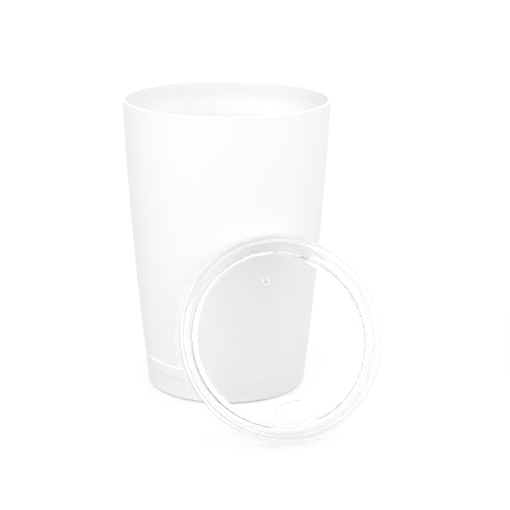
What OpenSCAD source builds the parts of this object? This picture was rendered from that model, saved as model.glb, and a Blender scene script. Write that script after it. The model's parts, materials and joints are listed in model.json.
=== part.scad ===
// Double-wall vacuum tumbler with its clear lid taken off and leaning against it.
// The cup stands on the floor at Z = 0 with its axis on Z. The lid leans on its -Y side.
// All sizes are in millimetres.

/* [Cup] */
// Outside width of the mouth
rim_d = 88; // [80:0.5:96]
// Height from the floor to the top of the lip
cup_h = 125.5; // [110:0.5:140]
// Outside width that the wall tapers to at the floor
foot_d = 67.8; // [60:0.2:74]
// How far the wall bulges past a straight taper at half height
wall_bow = 1.2; // [0.2:0.1:1.8]
// Thickness of the coated sheet steel
sheet_t = 0.45; // [0.4:0.05:0.6]
// Width of the rounded lip
lip_w = 1.2; // [1:0.1:1.8]
// Depth of the straight land inside the mouth
land_h = 5; // [4:0.5:8]
// Height over which the inner wall draws in below the land
shoulder_h = 16; // [10:0.5:20]
// Clear gap between the inner and the outer wall
jacket_gap = 3.2; // [2:0.1:4.5]

/* [Foot] */
// Height of the seam between the foot cap and the outer wall
cap_h = 8.8; // [8:0.2:10]
// How far the foot cap's skirt reaches up inside the outer wall
lap_h = 3.8; // [2.5:0.1:4.5]
// Height from the seam to the lower edge of the raised pad
pad_up = 0.9; // [0.4:0.1:2]
// Height of the raised pad
pad_h = 4.8; // [3:0.1:6]
// How far the pad stands out from the wall
pad_out = 0.3; // [0.1:0.05:0.5]
// Angle that the pad covers round the cup
pad_turn = 38; // [30:2:90]
// Direction of the pad's middle, from +X towards +Y
pad_mid = 207; // [180:1:230]
// Radius of the corner at the foot
foot_corner = 2.8; // [1:0.1:4]
// Width of the flat ring that rests on the floor
rest_w = 3; // [2:0.1:5]
// How far the middle of the foot is sunk above the floor
foot_recess = 2.6; // [1.5:0.1:3.5]

/* [Jacket] */
// Height from the foot cap's skirt to the weld of the vacuum bottom
weld_up = 3.6; // [3.2:0.1:5.2]
// Radius of the vacuum bottom's corner
vacuum_corner = 6; // [4:0.5:6.5]
// Height of the vacuum bottom's welded skirt
skirt_h = 3; // [2:0.1:5]
// Clear height between the vacuum bottom and the inner floor
floor_gap = 5.4; // [4.5:0.1:8]
// Radius of the inner floor's corner
liner_corner = 10; // [6:0.5:14]
// Width of the pump-out hole
pump_hole_d = 1.6; // [1:0.1:2.4]
// Width of the glass seal bead
bead_d = 6.6; // [5:0.1:8]
// Thickness of the glass seal bead
bead_h = 1.2; // [0.8:0.1:1.6]
// Width of the getter pellet
getter_d = 10; // [7:0.1:12]
// Thickness of the getter pellet
getter_h = 2.6; // [1.5:0.1:3]
// Distance from the cup's axis to the getter's axis
getter_at = 15; // [13:0.5:18]
// Thickness of the getter clip's sheet
clip_t = 0.4; // [0.3:0.05:0.6]
// Width of the getter clip's flange
clip_flange = 1.6; // [1:0.1:2.5]
// Thickness of the copper foil
foil_t = 0.2; // [0.15:0.05:0.4]

/* [Lid] */
// How far the flange stays clear of the mouth's wall
flange_gap = 1.8; // [1:0.1:2.4]
// Thickness of the flange
flange_t = 2.2; // [1.8:0.1:3]
// Width of the flange's top, from its edge to the upper step
flange_w = 1.6; // [1.4:0.1:2.4]
// Width of the upper step
step_w = 1.4; // [1:0.1:2]
// Depth of the shelf below the flange's top
shelf_depth = 2.4; // [1.5:0.1:3.2]
// Width of the shelf
shelf_w = 2.2; // [1.5:0.1:3]
// Width of the slope from the shelf to the panel
slope_w = 2.1; // [1:0.1:3]
// Depth of the panel below the flange's top
panel_depth = 5.6; // [4.5:0.1:7]
// Thickness of the lid's walls
lid_t = 2; // [1.5:0.1:2.4]
// Thickness of the well's wall at the panel's edge
well_t = 2.4; // [2:0.1:2.8]
// Depth of the plug's lower end below the flange's top
plug_depth = 11.5; // [10.5:0.1:14]
// Room for the gasket between the plug and the mouth's wall
gasket_room = 3.2; // [2.8:0.1:3.6]
// Thickness of the gasket's body behind its fins
gasket_body = 1.2; // [0.8:0.1:1.4]
// Height of the gasket
gasket_h = 5.6; // [4.5:0.1:6.4]
// How far the free gasket's fins are wider than the mouth
gasket_squeeze = 0.2; // [0.1:0.05:0.5]
// How far the ridge under the gasket stands out of the plug
ridge_out = 0.9; // [0.5:0.1:1.3]
// Long width of the sip hole
sip_w = 16.6; // [12:0.2:20]
// Short width of the sip hole
sip_h = 8; // [6:0.2:8.2]
// Distance from the lid's axis to the sip hole
sip_at = 29.6; // [26:0.2:29.6]
// Width of the vent hole
vent_d = 2.2; // [1.5:0.1:3]
// Distance from the lid's axis to the vent hole
vent_at = 24; // [18:0.5:28]

/* [Lean] */
// Angle of the lid from upright
lean = 27.5; // [18:0.5:32]
// Offset of the lid to the right of the cup's axis
lid_x = 6.6; // [0:0.2:16]
// Turn of the sip hole away from straight down
sip_turn = 6.5; // [0:0.5:30]
// Clearance between the leaning lid and the cup
lean_gap = 0.3; // [0.2:0.05:0.6]

/* [Hidden] */
$fn = 96;

// Clearance between pieces that are nested and welded or pressed together
fit_gap = 0.05;
// Clearance between the lid and the floor
floor_clear = 0.1;
// Steps of a curved profile, of a quarter arc and of the sip hole's outline
wall_steps = 12;
arc_steps = 8;
oval_steps = 48;
// Rounding of the flange's upper and lower edges, and the chamfer at the plug's lower end
flange_round = 0.9;
flange_under = 0.6;
plug_chamfer = 0.7;
// Height of the ridge under the gasket
ridge_h = 1.6;
// How far the foil stays inside the edges of what it covers
foil_inset = 1.5;
// Room round the seal bead in its dimple
bead_side = 0.3;

rim_r = rim_d / 2;
foot_r = foot_d / 2;
lip_r = lip_w / 2;
lip_z = cup_h - lip_r;
skirt_top = cap_h + lap_h;
land_z = cup_h - land_h;
shoulder_z = land_z - shoulder_h;
mouth_r = min(rim_r - lip_w, wall_r(land_z) - 2 * sheet_t - fit_gap);

weld_z = skirt_top + weld_up;
vacuum_z = weld_z - vacuum_corner;
vacuum_top = vacuum_z + sheet_t;
liner_z = vacuum_top + floor_gap;
seam_z = liner_z + liner_corner + sheet_t;
dimple_r = bead_d / 2 + bead_side;
dimple_h = bead_h + fit_gap;

lid_r = mouth_r - flange_gap;
plug_r = mouth_r - gasket_room;
gasket_r = mouth_r + gasket_squeeze;
ridge_r = plug_r + ridge_out;
ridge_z = flange_t + gasket_h;
step_r = lid_r - flange_w;
shelf_out_r = step_r - step_w;
shelf_in_r = shelf_out_r - shelf_w;
panel_r = shelf_in_r - slope_w;
well_r = panel_r + well_t;

lid_edges = [[lid_r - flange_under, flange_t], [gasket_r, flange_t + gasket_h * 4 / 5],
             [ridge_r, ridge_z + ridge_h / 2], [plug_r, plug_depth - plug_chamfer],
             [plug_r - plug_chamfer, plug_depth]];
lid_z = max([for (edge = lid_edges) edge[0] * cos(lean) + edge[1] * sin(lean)]) + floor_clear;
lid_y = min([for (edge = lid_edges, a = [0:2:180]) lean_limit(edge[0], edge[1], a)]);

// Outside radius of the cup at a height
function wall_r(z) =
    let (t = z / cup_h)
    foot_r + (rim_r - foot_r) * t + 4 * wall_bow * t * (1 - t);

// Outside radius of the inner wall, which draws in from the land to the jacket's gap
function liner_r(z) =
    let (t = min(max((z - shoulder_z) / shoulder_h, 0), 1),
         blend = t * t * (3 - 2 * t),
         body = wall_r(min(z, land_z)) - sheet_t - jacket_gap)
    body + (mouth_r + sheet_t - body) * blend;

// Points on an arc about a centre, from one angle to another
function arc(r, z, radius, from, to) =
    [for (i = [0:arc_steps])
        let (a = from + (to - from) * i / arc_steps)
        [r + radius * cos(a), z + radius * sin(a)]];

// Heights in equal steps
function heights(from, to, steps) = [for (i = [0:steps]) from + (to - from) * i / steps];

// Farthest back that the lid may stand for one point of one of its edges to clear the cup
function lean_limit(radius, depth, a) =
    let (x = lid_x + radius * cos(a),
         z = lid_z + radius * sin(a) * cos(lean) - depth * sin(lean),
         behind = radius * sin(a) * sin(lean) + depth * cos(lean),
         reach = wall_r(min(z, cup_h)) + lean_gap)
    abs(x) < reach ? -sqrt(reach * reach - x * x) - behind : 0;

module turned(points) {
    rotate_extrude() polygon(points);
}

// Tapered outer tube with a short raised pad on its -X side, low down
module outer_wall() {
    side = heights(cap_h + fit_gap, lip_z - fit_gap, 2 * wall_steps);
    outside = [for (z = side) [wall_r(z), z]];
    inside = [for (i = [len(side) - 1:-1:0]) [wall_r(side[i]) - sheet_t, side[i]]];
    root = sheet_t / 2;
    low = cap_h + pad_up;
    high = low + pad_h;
    pad = [[wall_r(low) - root, low], [wall_r(low) + pad_out, low],
           [wall_r(high) + pad_out, high], [wall_r(high) - root, high + pad_out + root]];
    color("white") {
        turned(concat(outside, inside));
        rotate([0, 0, pad_mid - pad_turn / 2]) rotate_extrude(angle = pad_turn) polygon(pad);
    }
}

// Drawn cap below the outer tube, with a skirt inside the tube and a sunk middle
module foot_cap() {
    neck = -sheet_t - fit_gap;
    corner_r = wall_r(foot_corner) - foot_corner;
    rest_r = corner_r - rest_w;
    bend = sheet_t * tan(45 / 2);
    outside = concat([for (z = [skirt_top, cap_h]) [wall_r(z) + neck, z]],
                     [for (z = heights(cap_h, foot_corner, 3)) [wall_r(z), z]],
                     arc(corner_r, foot_corner, foot_corner, 0, -90),
                     [[rest_r, 0], [rest_r - foot_recess, foot_recess], [0, foot_recess]]);
    inside = concat([[0, foot_recess + sheet_t], [rest_r - foot_recess + bend, foot_recess + sheet_t],
                     [rest_r + bend, sheet_t]],
                    arc(corner_r, foot_corner, foot_corner - sheet_t, -90, 0),
                    [for (z = heights(foot_corner, cap_h - 2 * sheet_t, 3)) [wall_r(z) - sheet_t, z]],
                    [for (z = [cap_h - sheet_t, skirt_top]) [wall_r(z) + neck - sheet_t, z]]);
    color("white") turned(concat(outside, inside));
}

// Inner tube with the land, the shoulder and the rolled lip that covers the outer wall's edge
module liner_wall() {
    lower = heights(seam_z + fit_gap, shoulder_z, wall_steps);
    shoulder = heights(shoulder_z, land_z, wall_steps);
    side = concat(lower, [for (i = [1:wall_steps]) shoulder[i]]);
    outside = [for (z = side) [liner_r(z), z]];
    inside = [for (i = [len(side) - 1:-1:0]) [liner_r(side[i]) - sheet_t, side[i]]];
    lip_mid = (mouth_r + rim_r) / 2;
    lip_half = (rim_r - mouth_r) / 2;
    lip = [for (i = [1:2 * arc_steps]) let (a = 90 * i / arc_steps)
           [lip_mid + lip_half * cos(a), lip_z + lip_r * sin(a)]];
    color("white") turned(concat(outside, [[mouth_r + sheet_t, lip_z], [rim_r, lip_z]], lip, inside));
}

// Dished floor of the inside
module liner_bottom() {
    centre = liner_r(liner_z + liner_corner) - liner_corner;
    outside = concat([[0, liner_z]], arc(centre, liner_z + liner_corner, liner_corner, -90, 0),
                     [[liner_r(seam_z), seam_z]]);
    inside = concat([[liner_r(seam_z) - sheet_t, seam_z]],
                    arc(centre, liner_z + liner_corner, liner_corner - sheet_t, 0, -90),
                    [[0, liner_z + sheet_t]]);
    color("white") turned(concat(outside, inside));
}

// Dish that closes the jacket, with a dimple and the pump-out hole in its middle
module vacuum_bottom() {
    seat = sheet_t + fit_gap;
    top = weld_z + skirt_h;
    centre = wall_r(weld_z) - seat - vacuum_corner;
    hole_r = pump_hole_d / 2;
    outside = concat([[hole_r, vacuum_z + dimple_h], [dimple_r, vacuum_z + dimple_h],
                      [dimple_r, vacuum_z]],
                     arc(centre, weld_z, vacuum_corner, -90, 0), [[wall_r(top) - seat, top]]);
    inside = concat([[wall_r(top) - seat - sheet_t, top]],
                    arc(centre, weld_z, vacuum_corner - sheet_t, 0, -90),
                    [[dimple_r + sheet_t, vacuum_top], [dimple_r + sheet_t, vacuum_top + dimple_h],
                     [hole_r, vacuum_top + dimple_h]]);
    color("silver") turned(concat(outside, inside));
}

// Glass bead in the dimple, with a neck that fills the pump-out hole
module seal_bead() {
    neck_r = pump_hole_d / 2 - fit_gap;
    color("darkslategray") {
        translate([0, 0, vacuum_z]) cylinder(d = bead_d, h = bead_h);
        translate([0, 0, vacuum_z]) cylinder(r = neck_r, h = dimple_h + sheet_t);
    }
}

// Pellet that takes up the last gas in the jacket
module getter_pellet() {
    color("dimgray") translate([getter_at, 0, vacuum_top + fit_gap]) cylinder(d = getter_d, h = getter_h);
}

// Cap that holds the pellet down, spot welded by its flange
module getter_clip() {
    bore_r = getter_d / 2 + fit_gap;
    roof = getter_h + 2 * fit_gap;
    wall = bore_r + clip_t;
    section = [[bore_r, fit_gap], [wall + clip_flange, fit_gap], [wall + clip_flange, clip_t],
               [wall, clip_t], [wall, roof + clip_t], [0, roof + clip_t], [0, roof], [bore_r, roof]];
    color("silver") translate([getter_at, 0, vacuum_top]) turned(section);
}

// Copper foil wrapped round the inner tube
module foil_sleeve() {
    side = heights(seam_z + foil_inset, shoulder_z - foil_inset, wall_steps);
    inside = [for (z = side) [liner_r(z) + fit_gap, z]];
    outside = [for (i = [len(side) - 1:-1:0]) [inside[i][0] + foil_t, side[i]]];
    color("peru") turned(concat(inside, outside));
}

// Copper foil disc under the inner floor
module foil_base() {
    disc_r = liner_r(liner_z + liner_corner) - liner_corner - foil_inset;
    color("peru") translate([0, 0, liner_z - fit_gap - foil_t]) cylinder(r = disc_r, h = foil_t);
}

// Puts a piece that is drawn with the flange's top at Z = 0 in the leaning lid's place
module leaning() {
    translate([lid_x, lid_y, lid_z]) rotate([90 - lean, 0, 0]) rotate([0, 0, sip_turn]) children();
}

// Outline of the lid's section, from the panel's middle out over the flange and back under
function lid_section() =
    concat([[0, -panel_depth], [panel_r, -panel_depth], [shelf_in_r, -shelf_depth],
            [shelf_out_r, -shelf_depth], [step_r, 0]],
           arc(lid_r - flange_round, -flange_round, flange_round, 90, 0),
           arc(lid_r - flange_under, flange_under - flange_t, flange_under, 0, -90),
           [[plug_r, -flange_t], [plug_r, -ridge_z], [ridge_r, -ridge_z],
            [ridge_r, -ridge_z - ridge_h / 2], [plug_r, -ridge_z - ridge_h],
            [plug_r, plug_chamfer - plug_depth],
            [plug_r - plug_chamfer, -plug_depth], [plug_r - lid_t, -plug_depth],
            [plug_r - lid_t, -shelf_depth - lid_t], [well_r, -shelf_depth - lid_t],
            [well_r, -panel_depth - lid_t], [0, -panel_depth - lid_t]]);

// Clear lid with the oval sip hole and the vent hole opposite
module lid_shell() {
    oval = [for (i = [0:oval_steps - 1])
            let (a = 360 * i / oval_steps)
            [sip_w / 2 * cos(a), sip_h / 2 * sin(a)]];
    color("azure", 0.4) leaning() difference() {
        turned(lid_section());
        translate([0, -sip_at, -plug_depth]) linear_extrude(plug_depth) polygon(oval);
        translate([0, vent_at, -plug_depth]) cylinder(d = vent_d, h = plug_depth);
    }
}

// Soft ring on the plug, with two fins that seal against the mouth's land
module lid_gasket() {
    back_r = plug_r + fit_gap;
    body_r = plug_r + gasket_body;
    top = -flange_t - fit_gap;
    tall = gasket_h - 2 * fit_gap;
    fin_root = tall / 5;
    fin_tip = tall / 10;
    fins = [for (low = [1, 3])
            let (upper = top - low * fin_root, lower = upper - fin_root)
            each [[body_r, upper], [gasket_r, upper - fin_tip],
                  [gasket_r, lower], [body_r, lower - fin_tip]]];
    section = concat([[back_r, top], [body_r, top]], fins, [[body_r, top - tall], [back_r, top - tall]]);
    color("whitesmoke", 0.6) leaning() turned(section);
}

outer_wall();
foot_cap();
liner_wall();
liner_bottom();
vacuum_bottom();
seal_bead();
getter_pellet();
getter_clip();
foil_sleeve();
foil_base();
lid_shell();
lid_gasket();
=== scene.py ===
# %% [markdown]
# # A white insulated tumbler and its clear lid
#
# The object is a double-wall tumbler that stands on a table, with its clear lid taken off and leaning
# against it. CAD has already settled every size and place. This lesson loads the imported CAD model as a
# fixed frame, models the pieces that show again with eased edges, and gives every surface its finish.

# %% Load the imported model
import json
import math

import bpy
from mathutils import Matrix, Vector


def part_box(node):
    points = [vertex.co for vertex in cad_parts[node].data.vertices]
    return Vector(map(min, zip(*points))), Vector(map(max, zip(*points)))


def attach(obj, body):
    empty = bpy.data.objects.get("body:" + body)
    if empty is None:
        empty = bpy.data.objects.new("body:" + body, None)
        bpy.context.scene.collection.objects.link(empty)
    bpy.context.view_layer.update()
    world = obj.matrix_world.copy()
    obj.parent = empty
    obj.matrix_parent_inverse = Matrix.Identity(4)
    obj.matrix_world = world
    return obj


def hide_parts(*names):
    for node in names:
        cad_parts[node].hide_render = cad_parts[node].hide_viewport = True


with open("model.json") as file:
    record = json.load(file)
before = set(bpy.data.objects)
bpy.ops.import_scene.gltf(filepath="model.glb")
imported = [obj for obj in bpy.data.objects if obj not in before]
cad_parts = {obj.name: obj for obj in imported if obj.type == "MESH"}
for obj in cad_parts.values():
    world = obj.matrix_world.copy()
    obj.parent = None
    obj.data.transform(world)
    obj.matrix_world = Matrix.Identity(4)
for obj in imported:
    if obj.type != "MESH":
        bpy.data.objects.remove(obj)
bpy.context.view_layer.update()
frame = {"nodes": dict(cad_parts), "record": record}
print("CAD nodes:", ", ".join(sorted(frame["nodes"])))

# %% [markdown]
# ## The camera
# The cup is seen from a little above and from the left of the side that the lid faces. A long lens from
# about 0.7 m away keeps the sides of the cup nearly straight. The camera is placed by its distance and
# side angle from the cup's axis, and then turned: first up from its start, where it looks straight down,
# then round to its heading, and last a hair about its own line of sight.

# %% Place the camera
CAMERA_AWAY = 0.6713
CAMERA_UP = 0.2487
CAMERA_SIDE = math.radians(13.58)
CAMERA_HEADING = math.radians(14.64)
CAMERA_PITCH = math.radians(15.99)
CAMERA_ROLL = math.radians(0.40)
CAMERA_LENS = 113.5

bpy.ops.object.select_all(action="DESELECT")
bpy.ops.object.camera_add()
camera = bpy.context.active_object
camera.location = (
    -CAMERA_AWAY * math.sin(CAMERA_SIDE),
    -CAMERA_AWAY * math.cos(CAMERA_SIDE),
    CAMERA_UP,
)
turn_up = Matrix.Rotation(math.radians(90) - CAMERA_PITCH, 3, "X")
turn_round = Matrix.Rotation(-CAMERA_HEADING, 3, "Z")
turn_level = Matrix.Rotation(CAMERA_ROLL, 3, "Z")
camera.rotation_euler = (turn_round @ turn_up @ turn_level).to_euler()
camera.data.lens = CAMERA_LENS
bpy.context.scene.camera = camera
print("camera at", [round(value, 3) for value in camera.location])

# %% [markdown]
# ## Sizes
# Blender counts in metres, but a cup is easier to think of in millimetres, so the outlines below are
# in millimetres and are scaled as they are drawn. The sizes that can be read off the frame are read
# there; the rest repeat the sheet, pad and lid sizes of the CAD model.

# %% Sizes of the cup
MM = 0.001
LOW, HIGH = 0, 1
X, Z = 0, 2


def size_of(node, corner, axis):
    """One coordinate of a CAD node's box, in millimetres."""
    return round(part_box(node)[corner][axis] / MM, 2)


mouth = next(mount for mount in frame["record"]["mounts"] if mount["name"] == "mouth")
MOUTH_R = mouth["dims"]["r_mm"]
RIM_R = size_of("liner_wall", HIGH, X)
CUP_H = size_of("liner_wall", HIGH, Z)
WALL_Z = size_of("outer_wall", LOW, Z)
SKIRT_TOP = size_of("foot_cap", HIGH, Z)
FLOOR_Z = size_of("liner_bottom", LOW, Z)
SEAM_Z = size_of("liner_bottom", HIGH, Z)
FOOT_R = 33.9
WALL_BOW = 1.2
SHEET = 0.45
FIT = 0.05
CAP_H = WALL_Z - FIT
JACKET = 3.2
LIP_R = 0.6
WALL_TOP = CUP_H - LIP_R
LAND_H = 5.0
LAND_Z = CUP_H - LAND_H
SHOULDER_H = 16.0
SHOULDER_Z = LAND_Z - SHOULDER_H
print(f"mouth radius {MOUTH_R}, rim radius {RIM_R}, height {CUP_H}")


def blend(low, high, value):
    """0 below low, 1 above high, and a smooth step between them."""
    part = min(max((value - low) / (high - low), 0), 1)
    return part * part * (3 - 2 * part)


def wall_r(z):
    """Outside radius of the cup at a height: a taper that bulges a little at half height."""
    part = z / CUP_H
    return FOOT_R + (RIM_R - FOOT_R) * part + 4 * WALL_BOW * part * (1 - part)


def liner_r(z):
    """Outside radius of the inner tube, which draws in from the mouth to the jacket's gap."""
    body = wall_r(min(z, LAND_Z)) - SHEET - JACKET
    return body + (MOUTH_R + SHEET - body) * blend(SHOULDER_Z, LAND_Z, z)


# %% [markdown]
# ## A lathe
# Everything here is a turned shape: sheet steel spun over a former, or plastic and silicone from a round
# mould. It could be made from a stack of circles, but an outline that is spun about the axis shows the
# section of the piece at once. One vertex is extruded along the outline, the line is spun a full turn,
# the seam and the poles are merged, and then the normals are turned outwards. Where two straight lines
# of an outline meet, a short curve eases the corner, because no drawn or moulded edge is knife sharp.

# %% Tools for outlines and turning
SPIN_STEPS = 180
MERGE_AT = 0.004 * MM
SMOOTH_UNDER = math.radians(40)
EASE_STEPS = 5
MOST_OF_LINE = 0.48


def toward(start, end, length):
    """The point at a length along the line from start to end, or just short of the line's middle."""
    share = min(length / math.dist(start, end), MOST_OF_LINE)
    return [a + (b - a) * share for a, b in zip(start, end)]


def eased(corners):
    """An outline of (radius, height) points from (radius, height, ease) corners. Ends stay sharp."""
    points = [corner[:2] for corner in corners]
    outline = [points[0]]
    for before, here, after, corner in zip(points, points[1:], points[2:], corners[1:]):
        curve = (toward(here, before, corner[2]), here, toward(here, after, corner[2]))
        for step in range(EASE_STEPS + 1):
            t = step / EASE_STEPS
            weights = ((1 - t) ** 2, 2 * t * (1 - t), t**2)
            outline.append([sum(w * p[i] for w, p in zip(weights, curve)) for i in (0, 1)])
    return outline + [points[-1]]


def heights(low, high, count):
    """Heights in equal steps from low to high."""
    return [low + (high - low) * i / count for i in range(count + 1)]


def pick(piece):
    """Make a piece the only selected one."""
    bpy.ops.object.select_all(action="DESELECT")
    bpy.context.view_layer.objects.active = piece
    piece.select_set(True)


def edit_all(piece):
    """Open a piece in edit mode with all of it selected."""
    pick(piece)
    bpy.ops.object.mode_set(mode="EDIT")
    bpy.ops.mesh.select_all(action="SELECT")


def turned(name, outline, closed=True, steps=SPIN_STEPS):
    """Spin an outline in millimetres about the Z axis. A closed outline comes back to its start."""
    line = outline + [outline[0]] if closed else outline
    bpy.ops.object.select_all(action="DESELECT")
    bpy.ops.mesh.primitive_plane_add(size=MM)
    piece = bpy.context.active_object
    piece.name = name
    edit_all(piece)
    bpy.ops.mesh.merge(type="CENTER")
    bpy.ops.transform.translate(value=(line[0][0] * MM, 0, line[0][1] * MM))
    for (r0, z0), (r1, z1) in zip(line, line[1:]):
        step = ((r1 - r0) * MM, 0, (z1 - z0) * MM)
        bpy.ops.mesh.extrude_region_move(TRANSFORM_OT_translate={"value": step})
    bpy.ops.mesh.select_all(action="SELECT")
    bpy.ops.mesh.spin(steps=steps, angle=math.tau, center=(0, 0, 0), axis=(0, 0, 1))
    bpy.ops.mesh.select_all(action="SELECT")
    bpy.ops.mesh.remove_doubles(threshold=MERGE_AT)
    bpy.ops.mesh.normals_make_consistent(inside=False)
    bpy.ops.object.mode_set(mode="OBJECT")
    print(f"{name}: turned from {len(line)} points")
    return piece


def finish_piece(piece, body, nodes):
    """Smooth the shading, weigh the normals by face size, and hand the piece to the frame."""
    pick(piece)
    bpy.ops.object.shade_smooth_by_angle(angle=SMOOTH_UNDER)
    weigh = piece.modifiers.new("weigh", "WEIGHTED_NORMAL")
    weigh.keep_sharp = True
    bpy.ops.object.modifier_apply(modifier=weigh.name)
    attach(piece, body)
    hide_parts(*nodes)
    print(f"{piece.name}: {len(piece.data.polygons)} faces, rides on {body}")


# %% [markdown]
# ## The outer wall
# The outside of the cup is one tapered tube of sheet steel under a white powder coat. Low on its left
# side it carries a shallow pad, three tenths of a millimetre proud, that shows as a thin light line above
# and a thin shade below. A bump in the material would show the same lines, but the pad would not be in
# the mesh. So the tube gets rows of points at the pad's edges, and those in the pad are pressed
# out. Both sides of the sheet are drawn.

# %% Turn the outer wall
PAD_UP = 0.9
PAD_H = 4.8
PAD_EDGE = 0.5
PAD_LOW = CAP_H + PAD_UP
PAD_HIGH = PAD_LOW + PAD_H
EDGE_ROWS = 6
WALL_ROWS = 32
SEAM_EDGE = 0.04
wall_rows = [WALL_Z]
wall_rows += heights(PAD_LOW, PAD_LOW + PAD_EDGE, EDGE_ROWS)
wall_rows += heights(PAD_HIGH, PAD_HIGH + PAD_EDGE, EDGE_ROWS)
wall_rows += heights(PAD_HIGH + PAD_EDGE, WALL_TOP, WALL_ROWS)[1:]
wall_inside = [(wall_r(z) - SHEET, z) for z in reversed(wall_rows)]
lower_edge = eased([
    wall_inside[-1] + (0,),
    (wall_r(WALL_Z), WALL_Z, SEAM_EDGE),
    (wall_r(wall_rows[1]), wall_rows[1], 0),
])
wall_outside = [(wall_r(z), z) for z in wall_rows[2:]]
outer_wall = turned("outer_wall_coated", lower_edge + wall_outside + wall_inside[:-1])

# %% Press out the pad
PAD_OUT = 0.3
# The pad's middle as a turn about the cup, and its half length and the slope at its ends in degrees.
PAD_MID = math.radians(207)
PAD_HALF = 19.0
PAD_END = 2.0
for point in outer_wall.data.vertices:
    z = point.co.z / MM
    radius = point.co.xy.length / MM
    if radius > wall_r(z) - SHEET / 2:
        turn = math.atan2(point.co.y, point.co.x) - PAD_MID
        aside = math.degrees(math.acos(math.cos(turn)))
        in_height = blend(PAD_LOW, PAD_LOW + PAD_EDGE, z) - blend(PAD_HIGH, PAD_HIGH + PAD_EDGE, z)
        in_turn = 1 - blend(PAD_HALF - PAD_END, PAD_HALF, aside)
        point.co.xy *= 1 + PAD_OUT * in_height * in_turn / radius
finish_piece(outer_wall, "cup", ["outer_wall"])

# %% [markdown]
# ## The foot
# A drawn cap closes the cup below the outer tube. Its skirt goes up inside the tube, its corner is
# rounded, and its middle is pressed in so that the cup stands on a narrow ring. The seam between the two
# is a hair line under the coat.

# %% Turn the foot cap
FOOT_CORNER = 2.8
FOOT_TUCK = 0.1
REST_W = 3.0
FOOT_RECESS = 2.6
SKIRT_IN = SHEET + FIT
corner_r = wall_r(FOOT_CORNER)
rest_r = corner_r - FOOT_CORNER - REST_W
recess_r = rest_r - FOOT_RECESS
foot_cap = turned("foot_cap_coated", eased([
    (0, FOOT_RECESS + SHEET, 0),
    (recess_r, FOOT_RECESS + SHEET, 1.2),
    (rest_r, SHEET, 1.2),
    (corner_r - SHEET, SHEET, FOOT_CORNER),
    (wall_r(CAP_H) - SHEET, CAP_H - 2 * SHEET, 0.4),
    (wall_r(CAP_H) - SKIRT_IN - SHEET, CAP_H - SHEET, 0.3),
    (wall_r(SKIRT_TOP) - SKIRT_IN - SHEET, SKIRT_TOP, 0.1),
    (wall_r(SKIRT_TOP) - SKIRT_IN, SKIRT_TOP, 0.1),
    (wall_r(CAP_H) - SKIRT_IN, CAP_H, 0.1),
    (wall_r(CAP_H), CAP_H, SEAM_EDGE),
    (corner_r, FOOT_CORNER, 0.5),
    (corner_r - FOOT_TUCK, 0, FOOT_CORNER),
    (rest_r, 0, 0.8),
    (recess_r, FOOT_RECESS, 0.8),
    (0, FOOT_RECESS, 0),
]), closed=False)
finish_piece(foot_cap, "cup", ["foot_cap"])

# %% [markdown]
# ## The inside
# The inner tube carries the rolled lip that one drinks from, the straight land that the lid's gasket
# seals on, and the shoulder below it where the tube draws in. The floor is a separate dish, welded in at
# a seam low down. Both are turned from their sections, with the lip as a half oval.

# %% Turn the inner tube
LIP_STEPS = 18
TUBE_ROWS = 14
lip_mid = (MOUTH_R + RIM_R) / 2
lip_half = (RIM_R - MOUTH_R) / 2
lip = []
for i in range(LIP_STEPS + 1):
    angle = math.pi * i / LIP_STEPS
    lip.append((lip_mid + lip_half * math.cos(angle), WALL_TOP + LIP_R * math.sin(angle)))
tube_rows = heights(SEAM_Z + FIT, SHOULDER_Z, TUBE_ROWS)
tube_rows += heights(SHOULDER_Z, LAND_Z, TUBE_ROWS)[1:]
inner_tube = turned(
    "inner_tube_lined",
    [(liner_r(z), z) for z in tube_rows]
    + [(MOUTH_R + SHEET, WALL_TOP)]
    + lip
    + [(liner_r(z) - SHEET, z) for z in reversed(tube_rows)],
)
finish_piece(inner_tube, "cup", ["liner_wall"])

# %% Turn the inner floor
FLOOR_CORNER = 10.0
ARC_STEPS = 14
dish_r = liner_r(FLOOR_Z + FLOOR_CORNER) - FLOOR_CORNER


def corner_arc(radius):
    """Points round the floor's corner, from the flat up to the wall."""
    arc = []
    for i in range(ARC_STEPS + 1):
        angle = math.pi / 2 * i / ARC_STEPS
        height = FLOOR_Z + FLOOR_CORNER - radius * math.cos(angle)
        arc.append((dish_r + radius * math.sin(angle), height))
    return arc


inner_floor = turned(
    "inner_floor_lined",
    [(0, FLOOR_Z)]
    + corner_arc(FLOOR_CORNER)
    + [(liner_r(SEAM_Z), SEAM_Z), (liner_r(SEAM_Z) - SHEET, SEAM_Z)]
    + list(reversed(corner_arc(FLOOR_CORNER - SHEET)))
    + [(0, FLOOR_Z + SHEET)],
    closed=False,
)
finish_piece(inner_floor, "cup", ["liner_bottom"])

# %% [markdown]
# ## The lid
# The lid is one clear moulding: a flange, a shelf, a sunken panel and a plug below. Clear plastic shows
# its shape only by the lines where its faces meet, so the section is drawn in full, with eased corners.
# It is turned flat with its flange's top at zero. The sip hole and the vent hole are cut by cutters that
# flare at both faces, because that rounds the holes' edges without a bevel on the cut mesh. Then the
# faces of the plug's wall are marked, because they get a material of their own.

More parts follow.
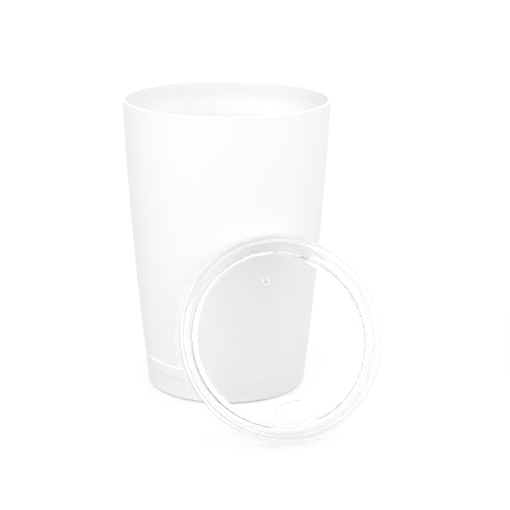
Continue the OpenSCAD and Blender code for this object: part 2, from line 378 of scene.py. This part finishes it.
# %% Sizes of the lid
LID_T = 2.0
FLANGE_GAP = 1.8
FLANGE_T = 2.2
FLANGE_W = 1.6
STEP_W = 1.4
SHELF_W = 2.2
SHELF_DEPTH = 2.4
SLOPE_W = 2.1
PANEL_DEPTH = 5.6
WELL_T = 2.4
PLUG_DEPTH = 11.5
GASKET_ROOM = 3.2
GROOVE_H = 5.6
RIDGE_OUT = 0.9
RIDGE_H = 1.6
LID_R = MOUTH_R - FLANGE_GAP
STEP_R = LID_R - FLANGE_W
SHELF_OUT_R = STEP_R - STEP_W
SHELF_IN_R = SHELF_OUT_R - SHELF_W
PANEL_R = SHELF_IN_R - SLOPE_W
WELL_R = PANEL_R + WELL_T
PLUG_R = MOUTH_R - GASKET_ROOM
RIDGE_R = PLUG_R + RIDGE_OUT
RIDGE_Z = FLANGE_T + GROOVE_H
print(f"lid radius {LID_R:.1f}, panel radius {PANEL_R:.1f}, plug radius {PLUG_R:.1f}")

# %% Turn the lid flat
lid_shell = turned("lid_shell_clear", eased([
    (0, -PANEL_DEPTH, 0),
    (PANEL_R, -PANEL_DEPTH, 0.3),
    (SHELF_IN_R, -SHELF_DEPTH, 1.0),
    (SHELF_OUT_R, -SHELF_DEPTH, 0.4),
    (STEP_R, 0, 0.6),
    (LID_R, 0, 1.0),
    (LID_R, -FLANGE_T, 0.7),
    (PLUG_R, -FLANGE_T, 0.3),
    (PLUG_R, -RIDGE_Z, 0.2),
    (RIDGE_R, -RIDGE_Z, 0.3),
    (RIDGE_R, -RIDGE_Z - RIDGE_H / 2, 0.3),
    (PLUG_R, -RIDGE_Z - RIDGE_H, 0.4),
    (PLUG_R, -PLUG_DEPTH, 0.8),
    (PLUG_R - LID_T, -PLUG_DEPTH, 0.6),
    (PLUG_R - LID_T, -SHELF_DEPTH - LID_T, 0.6),
    (WELL_R, -SHELF_DEPTH - LID_T, 0.3),
    (WELL_R, -PANEL_DEPTH - LID_T, 1.6),
    (0, -PANEL_DEPTH - LID_T, 0),
]), closed=False, steps=2 * SPIN_STEPS)

# %% Cut the sip hole and the vent hole
SIP_HALF = (8.3, 4.0)
SIP_AT = 29.6
VENT_HALF = (1.1, 1.1)
VENT_AT = 24.0
CUTTER_SIDES = 72
# Depth into the panel, and how much wider the hole is there.
FLARE = ((-0.15, 0.5), (0.12, 0.25), (0.35, 0.08), (0.6, 0.0))
flares = list(FLARE) + [(LID_T - depth, grow) for depth, grow in reversed(FLARE)]


def hole_cutter(half, at):
    """An oval plug through the panel that widens at the panel's two faces."""
    centre = Vector((0, at * MM, 0))
    bpy.ops.object.select_all(action="DESELECT")
    bpy.ops.mesh.primitive_circle_add(vertices=CUTTER_SIDES, radius=MM, fill_type="NGON")
    cutter = bpy.context.active_object
    edit_all(cutter)
    top_depth, top_grow = flares[0]
    oval = [side + top_grow for side in half]
    bpy.ops.transform.resize(value=(oval[0], oval[1], 1), center_override=(0, 0, 0))
    bpy.ops.transform.translate(value=centre - Vector((0, 0, (PANEL_DEPTH + top_depth) * MM)))
    for (depth0, grow0), (depth1, grow1) in zip(flares, flares[1:]):
        down = (0, 0, (depth0 - depth1) * MM)
        bpy.ops.mesh.extrude_region_move(TRANSFORM_OT_translate={"value": down})
        scale = [(side + grow1) / (side + grow0) for side in half]
        bpy.ops.transform.resize(value=(scale[0], scale[1], 1), center_override=centre)
    bpy.ops.mesh.select_all(action="SELECT")
    bpy.ops.mesh.normals_make_consistent(inside=False)
    bpy.ops.object.mode_set(mode="OBJECT")
    return cutter


for half, at in ((SIP_HALF, -SIP_AT), (VENT_HALF, VENT_AT)):
    cutter = hole_cutter(half, at)
    cut = lid_shell.modifiers.new("hole", "BOOLEAN")
    cut.operation = "DIFFERENCE"
    cut.solver = "EXACT"
    cut.object = cutter
    pick(lid_shell)
    bpy.ops.object.modifier_apply(modifier=cut.name)
    bpy.data.objects.remove(cutter)
print("lid after its holes:", len(lid_shell.data.polygons), "faces")

# %% Mark the plug's wall
PLUG_SLOT = 1
PLUG_MARGIN = 0.3
PLUG_TOP = -(FLANGE_T + PLUG_MARGIN) * MM
PLUG_IN = (PLUG_R - LID_T - PLUG_MARGIN) * MM
for face in lid_shell.data.polygons:
    if face.center.z < PLUG_TOP and face.center.xy.length > PLUG_IN:
        face.material_index = PLUG_SLOT
print("plug wall:", sum(face.material_index == PLUG_SLOT for face in lid_shell.data.polygons), "faces")

# %% [markdown]
# ## The gasket
# A soft ring sits in the groove between the lid's flange and its ridge. Its two fins reach past the
# flange, which stays clear of the cup, and press on the cup's land. The section is small, so its corners
# are eased by a few tenths of a millimetre only.

# %% Turn the gasket
GASKET_SQUEEZE = 0.2
GASKET_BODY = 1.2
GASKET_R = MOUTH_R + GASKET_SQUEEZE
GASKET_IN = PLUG_R + FIT
GASKET_MID = PLUG_R + GASKET_BODY
GASKET_TOP = -FLANGE_T - FIT
GASKET_H = GROOVE_H - 2 * FIT
FIN_H = GASKET_H / 5
FIN_SLOPE = GASKET_H / 10
gasket_corners = [
    (GASKET_IN, GASKET_TOP - GASKET_H / 2, 0),
    (GASKET_IN, GASKET_TOP, 0.2),
    (GASKET_MID, GASKET_TOP, 0.3),
]
for fins_down in (1, 3):
    fin_top = GASKET_TOP - fins_down * FIN_H
    gasket_corners += [
        (GASKET_MID, fin_top, 0.2),
        (GASKET_R, fin_top - FIN_SLOPE, 0.2),
        (GASKET_R, fin_top - FIN_H, 0.2),
        (GASKET_MID, fin_top - FIN_H - FIN_SLOPE, 0.2),
    ]
gasket_corners += [
    (GASKET_MID, GASKET_TOP - GASKET_H, 0.1),
    (GASKET_IN, GASKET_TOP - GASKET_H, 0.2),
    (GASKET_IN, GASKET_TOP - GASKET_H / 2, 0),
]
gasket = turned("lid_gasket_soft", eased(gasket_corners), closed=False)

# %% [markdown]
# ## Leaning the lid
# The lid leans back at one angle, on the floor and against the cup. Its place is measured on the frame:
# the flange's top is the plane that lies furthest out along the lid's own axis, and the flange is the
# widest part of the lid, so its middle is the lid's middle. The turn and the move are applied to the
# mesh.

# %% Lean the lid
LEAN = math.radians(27.5)
SIP_TURN = math.radians(6.5)
lid_out = Vector((0, -math.cos(LEAN), math.sin(LEAN)))
lid_up = Vector((0, math.sin(LEAN), math.cos(LEAN)))
lid_across = Vector((1, 0, 0))
lid_points = [vertex.co for vertex in frame["nodes"]["lid_shell"].data.vertices]


def span(direction):
    """Lowest and highest reach of the CAD lid along a direction."""
    reach = [point.dot(direction) for point in lid_points]
    return min(reach), max(reach)


lid_middle = lid_across * sum(span(lid_across)) / 2 + lid_up * sum(span(lid_up)) / 2
lid_middle += lid_out * span(lid_out)[1]
lean_back = Matrix.Rotation(math.radians(90) - LEAN, 4, "X") @ Matrix.Rotation(SIP_TURN, 4, "Z")
for piece in (lid_shell, gasket):
    piece.matrix_world = Matrix.Translation(lid_middle) @ lean_back
    pick(piece)
    bpy.ops.object.transform_apply(location=True, rotation=True, scale=True)
finish_piece(lid_shell, "lid", ["lid_shell"])
finish_piece(gasket, "lid", ["lid_gasket"])
print("lid's middle in mm:", [round(value / MM, 2) for value in lid_middle])

# %% [markdown]
# ## Writing materials
# A node tree is easier to read as sums. One small class wraps a node's output, so that adding or
# multiplying two of them adds the Math nodes. Its method node makes any other kind of node.

# %% A wrapper for shader sums
class Wire:
    """An output of a node, for use in Python sums. Without an output it only knows its tree."""

    def __init__(self, tree, socket=None):
        self.tree = tree
        self.socket = socket

    def node(self, kind, settings=None, inputs=None, output=0):
        """Add a node, set it up, fill or link its inputs and give back one of its outputs."""
        made = self.tree.nodes.new(kind)
        for name, value in (settings or {}).items():
            setattr(made, name, value)
        for name, value in (inputs or {}).items():
            if isinstance(value, Wire):
                self.tree.links.new(value.socket, made.inputs[name])
            else:
                made.inputs[name].default_value = value
        return Wire(self.tree, made.outputs[output] if made.outputs else None)

    def maths(self, operation, first, second):
        """A Math node on two values."""
        return self.node("ShaderNodeMath", {"operation": operation}, {0: first, 1: second})

    def __add__(self, other):
        return self.maths("ADD", self, other)

    def __sub__(self, other):
        return self.maths("SUBTRACT", self, other)

    def __rsub__(self, other):
        return self.maths("SUBTRACT", other, self)

    def __mul__(self, other):
        return self.maths("MULTIPLY", self, other)

    __radd__ = __add__
    __rmul__ = __mul__


# %% Tools for materials
def clear_tree(tree):
    """Empty a node tree and give a wire to build on."""
    tree.nodes.clear()
    return Wire(tree)


def noise(wire, place, scale, detail=2.0):
    """Soft noise from 0 to 1 with features of about 1 / scale metres."""
    inputs = {"Vector": place, "Scale": scale, "Detail": detail}
    return wire.node("ShaderNodeTexNoise", {"noise_dimensions": "3D"}, inputs)


def mixed(wire, factor, first, second):
    """A colour between two colours. The Mix node's colour sockets go by number, as names repeat."""
    inputs = {0: factor, 6: first, 7: second}
    return wire.node("ShaderNodeMix", {"data_type": "RGBA"}, inputs, output=2)


def grey(value):
    """A neutral colour."""
    return (value, value, value, 1.0)


def bumped(wire, height, strength, distance):
    """A normal that follows a height, with the height's full step in metres."""
    inputs = {"Height": height, "Strength": strength, "Distance": distance}
    return wire.node("ShaderNodeBump", inputs=inputs)


def surface(name, recipe):
    """Make a material: the recipe gets a wire and Object coordinates, and gives the shader's inputs."""
    material = bpy.data.materials.new(name)
    material.use_nodes = True
    wire = clear_tree(material.node_tree)
    place = wire.node("ShaderNodeTexCoord", output="Object")
    shader = wire.node("ShaderNodeBsdfPrincipled", inputs=recipe(wire, place))
    wire.node("ShaderNodeOutputMaterial", inputs={"Surface": shader})
    return material


# %% [markdown]
# ## White powder coat
# Powder coat flows out when it is baked, and leaves a satin skin with a fine orange peel: ripples of
# about a millimetre and a finer grain between them. The white is even, with only a breath of cloudiness,
# and it is a little greyer in noisy patches on the lowest 1.4 mm of the foot. Ripples that small are a
# bump, not mesh. The lining of the inside is a greyer copy of the white, as painted shade for the inside
# of the cup, and has no grain.

# %% Powder coat and lining
FOOT_GREY_UP_TO = 1.4 * MM


def powder_coat(wire, place):
    """Satin white with orange peel, greyer in noisy patches at the foot."""
    peel = noise(wire, place, 900.0)
    grain = noise(wire, place, 4200.0)
    clouds = noise(wire, place, 28.0, 3.0)
    height = wire.node("ShaderNodeSeparateXYZ", inputs={"Vector": place}, output="Z")
    # Greyer in noisy patches up to 1.4 mm above the table.
    foot_band = wire.node(
        "ShaderNodeMapRange",
        {"clamp": True, "interpolation_type": "SMOOTHSTEP"},
        {"Value": height, "From Min": 0.0, "From Max": FOOT_GREY_UP_TO, "To Min": 1.0, "To Max": 0.0},
    )
    foot_patches = foot_band * noise(wire, place, 350.0)
    white = mixed(wire, clouds, grey(0.93), grey(0.945))
    return {
        "Base Color": mixed(wire, foot_patches, white, grey(0.74)),
        "Roughness": 0.36 + 0.1 * clouds + 0.06 * grain,
        "Specular IOR Level": 0.3,
        "Normal": bumped(wire, 0.75 * peel + 0.25 * grain, 0.25, 0.03 * MM),
    }


def lining(wire, place):
    """White coat of the inside, painted greyer as painted shade for the inside, with soft ripples."""
    ripple = noise(wire, place, 420.0)
    clouds = noise(wire, place, 24.0, 3.0)
    return {
        # The grey is painted shade: the same white as the outer coat, made darker for the inside.
        "Base Color": mixed(wire, clouds, grey(0.81), grey(0.825)),
        "Roughness": 0.34 + 0.1 * clouds,
        "Normal": bumped(wire, ripple, 0.15, 0.03 * MM),
    }


white_coat = surface("white_coat", powder_coat)
white_lining = surface("white_lining", lining)
for piece, material in (
    (outer_wall, white_coat),
    (foot_cap, white_coat),
    (inner_tube, white_lining),
    (inner_floor, white_lining),
):
    piece.data.materials.append(material)
print("white pieces are coated")

# %% [markdown]
# ## Clear plastic and silicone
# The lid is polished clear plastic, which bends light as glass does and holds a trace of cloudiness. The
# plug's wall stands edge-on to the camera, so light runs down it as down a light guide, and a picture
# gets too few samples to draw that cleanly. So the wall's faces are a thin film that does not bend light
# and is a little grey, so that it draws painted shade lines where the bending would darken the wall.
# The gasket is clear silicone, whose thin fins hide little of what is behind them, so it is a film too.

# %% Clear plastic and silicone
FILM_ALPHA = 0.08


def clear_plastic(wire, place):
    """Polished plastic that bends light."""
    haze = noise(wire, place, 45.0, 4.0)
    return {
        "Base Color": mixed(wire, haze, grey(0.994), grey(1.0)),
        "Roughness": 0.0,
        "IOR": 1.46,
        "Transmission Weight": 1.0,
    }


def clear_silicone(wire, place):
    """Satin film for the gasket."""
    cloud = noise(wire, place, 90.0)
    return {
        "Base Color": mixed(wire, cloud, grey(0.955), grey(0.975)),
        "Roughness": 0.3 + 0.1 * cloud,
        "IOR": 1.41,
        "Alpha": FILM_ALPHA,
    }


def clear_film(wire, place):
    """Glossier grey film for the plug's wall; its grey paints the shade lines that bent light would draw.
    """
    cloud = noise(wire, place, 90.0)
    return {
        # The grey base paints the wall's shade lines.
        "Base Color": mixed(wire, cloud, grey(0.86), grey(0.89)),
        "Roughness": 0.2 + 0.1 * cloud,
        "Alpha": FILM_ALPHA,
    }


lid_shell.data.materials.append(surface("clear_plastic", clear_plastic))
lid_shell.data.materials.append(surface("clear_film", clear_film))
gasket.data.materials.append(surface("clear_silicone", clear_silicone))
print("lid is clear")

# %% [markdown]
# ## What the vacuum jacket holds
# Inside the walls are the vacuum bottom, its glass seal, the getter and the copper foil. They never show
# on a whole cup, but a cut model shows them, so their CAD solids stay and get their metals and glass.

# %% Metals and glass inside the jacket
def drawn_steel(wire, place):
    """Bare steel with fine flat streaks."""
    long_grain = wire.node("ShaderNodeMapping", inputs={"Vector": place, "Scale": (1.0, 1.0, 14.0)})
    streaks = noise(wire, long_grain, 320.0, 4.0)
    return {
        "Base Color": mixed(wire, streaks, grey(0.58), grey(0.66)),
        "Metallic": 1.0,
        "Roughness": 0.26 + 0.16 * streaks,
        "Normal": bumped(wire, streaks, 0.1, 0.02 * MM),
    }


def crinkled_foil(wire, place):
    """Copper with creases about five millimetres apart."""
    creases = {"Vector": place, "Scale": 210.0}
    crease = wire.node("ShaderNodeTexVoronoi", {"feature": "DISTANCE_TO_EDGE"}, creases)
    tarnish = noise(wire, place, 60.0, 4.0)
    return {
        "Base Color": mixed(wire, tarnish, (0.78, 0.36, 0.20, 1.0), (0.86, 0.48, 0.30, 1.0)),
        "Metallic": 1.0,
        "Roughness": 0.18 + 0.2 * tarnish,
        "Normal": bumped(wire, crease, 0.3, 0.1 * MM),
    }


def sintered_powder(wire, place):
    """Dark grainy metal of the getter."""
    grains = noise(wire, place, 3500.0, 3.0)
    return {
        "Base Color": mixed(wire, grains, grey(0.06), grey(0.12)),
        "Metallic": 0.7,
        "Roughness": 0.62 + 0.2 * grains,
        "Normal": bumped(wire, grains, 0.5, 0.06 * MM),
    }


def fused_glass(wire, place):
    """Near-black solder glass with a melted skin."""
    swirl = noise(wire, place, 700.0, 3.0)
    return {
        "Base Color": mixed(wire, swirl, (0.02, 0.03, 0.03, 1.0), (0.05, 0.06, 0.06, 1.0)),
        "Roughness": 0.08 + 0.1 * swirl,
        "IOR": 1.6,
        "Normal": bumped(wire, swirl, 0.1, 0.04 * MM),
    }


jacket_finishes = {
    "bare_steel": (drawn_steel, ["vacuum_bottom", "getter_clip"]),
    "copper_foil": (crinkled_foil, ["foil_sleeve", "foil_base"]),
    "getter_metal": (sintered_powder, ["getter_pellet"]),
    "solder_glass": (fused_glass, ["seal_bead"]),
}
for name, (recipe, nodes) in jacket_finishes.items():
    material = surface(name, recipe)
    for node in nodes:
        frame["nodes"][node].material_slots[0].material = material
    print(name, "on", ", ".join(nodes))

# %% [markdown]
# ## The table
# The cup stands on a white table. To the camera, and to what the camera sees in or through the lid, the
# table is nearly pure white, as in a studio picture; the rest of it is real shading, so that the cup's
# faint shadow stays. Light that has already met a dull surface sees only the real, lit table, so the
# white paint adds no light of its own to the cup.

# %% White table
TABLE_SIZE = 8.0
TABLE_DOWN = 0.05 * MM
TABLE_WHITE = 0.72
TABLE_DULL = 0.3
TABLE_PALE = 0.87
IN_GLOSS = ("Is Glossy Ray", "Is Transmission Ray")
IN_PICTURE = ("Is Camera Ray",) + IN_GLOSS


def in_sight(wire, ways=IN_PICTURE):
    """1 for what the camera sees in these ways, and 0 for light on its way to a dull surface."""
    direct = 0.0
    for way in ways:
        direct = wire.maths("MAXIMUM", wire.node("ShaderNodeLightPath", output=way), direct)
    depth = wire.node("ShaderNodeLightPath", output="Diffuse Depth")
    return direct * (1 - wire.maths("MINIMUM", depth, 1.0))


bpy.ops.object.select_all(action="DESELECT")
bpy.ops.mesh.primitive_plane_add(size=TABLE_SIZE, location=(0, 0, -TABLE_DOWN))
table = bpy.context.active_object
table.name = "table"
table_material = bpy.data.materials.new("table_white")
table_material.use_nodes = True
wire = clear_tree(table_material.node_tree)
seen = in_sight(wire)
paint = mixed(wire, seen, grey(TABLE_DULL), grey(TABLE_PALE))
lit = wire.node("ShaderNodeBsdfDiffuse", inputs={"Color": paint})
white = wire.node("ShaderNodeEmission", inputs={"Color": grey(1.0), "Strength": 1.0})
shown = wire.node("ShaderNodeMixShader", inputs={0: seen * TABLE_WHITE, 1: lit, 2: white})
wire.node("ShaderNodeOutputMaterial", inputs={"Surface": shown})
table.data.materials.append(table_material)
print("table of", TABLE_SIZE, "m")

# %% [markdown]
# ## The light
# The light is a faint glow from all round and five soft boxes: a wide one overhead, and low ones in
# front, at the front left, at the right and behind. They are painted into the room as soft spots rather
# than set up as lamps, so that the polished lid shows no hard lamp edges. The camera itself sees a plain
# white room behind the cup. In gloss and through clear plastic it sees the same white, and the soft boxes
# where they are brighter than white, which gives the lid its highlights.

# %% Room with soft boxes
ROOM_GLOW = 0.06
# Each box: turn to the right of the camera's side and rise, in degrees, brightness, and how tight it is.
SOFT_BOXES = {
    "overhead": (0, 90, 1.1, 2.0),
    "front": (0, 10, 2.3, 6.0),
    "front left": (-60, 25, 2.1, 6.0),
    "right": (84, 15, 2.5, 6.0),
    "back": (180, 15, 2.0, 6.0),
}

room = bpy.data.worlds.new("white_room")
bpy.context.scene.world = room
room.use_nodes = True
wire = clear_tree(room.node_tree)
looking = wire.node("ShaderNodeTexCoord", output="Generated")
glow = ROOM_GLOW
for turn, rise, brightness, tightness in SOFT_BOXES.values():
    bearing = math.radians(turn) - CAMERA_SIDE
    flat = math.cos(math.radians(rise))
    box = (flat * math.sin(bearing), -flat * math.cos(bearing), math.sin(math.radians(rise)))
    dot = {"operation": "DOT_PRODUCT"}
    facing = wire.node("ShaderNodeVectorMath", dot, {0: looking, 1: box}, output="Value")
    glow = wire.maths("POWER", wire.maths("MAXIMUM", facing, 0.0), tightness) * brightness + glow
seen = in_sight(wire)
highlight = in_sight(wire, IN_GLOSS) * wire.maths("MAXIMUM", glow - 1.0, 0.0)
strength = seen + (1 - seen) * glow + highlight
light = wire.node("ShaderNodeBackground", inputs={"Color": grey(1.0), "Strength": strength})
wire.node("ShaderNodeOutputWorld", inputs={"Surface": light})
print("soft boxes:", ", ".join(SOFT_BOXES))

# %% [markdown]
# ## Finish
# The view transform is Standard, so that a colour renders as it is written. A path through the lid
# crosses many clear faces, so the bounce limits are high, and the glossy filter is low, because it takes
# light from what is behind clear plastic.

# %% Finish
bpy.context.scene.view_settings.view_transform = "Standard"
bpy.context.scene.cycles.max_bounces = 32
bpy.context.scene.cycles.transmission_bounces = 32
bpy.context.scene.cycles.glossy_bounces = 24
bpy.context.scene.cycles.blur_glossy = 0.27
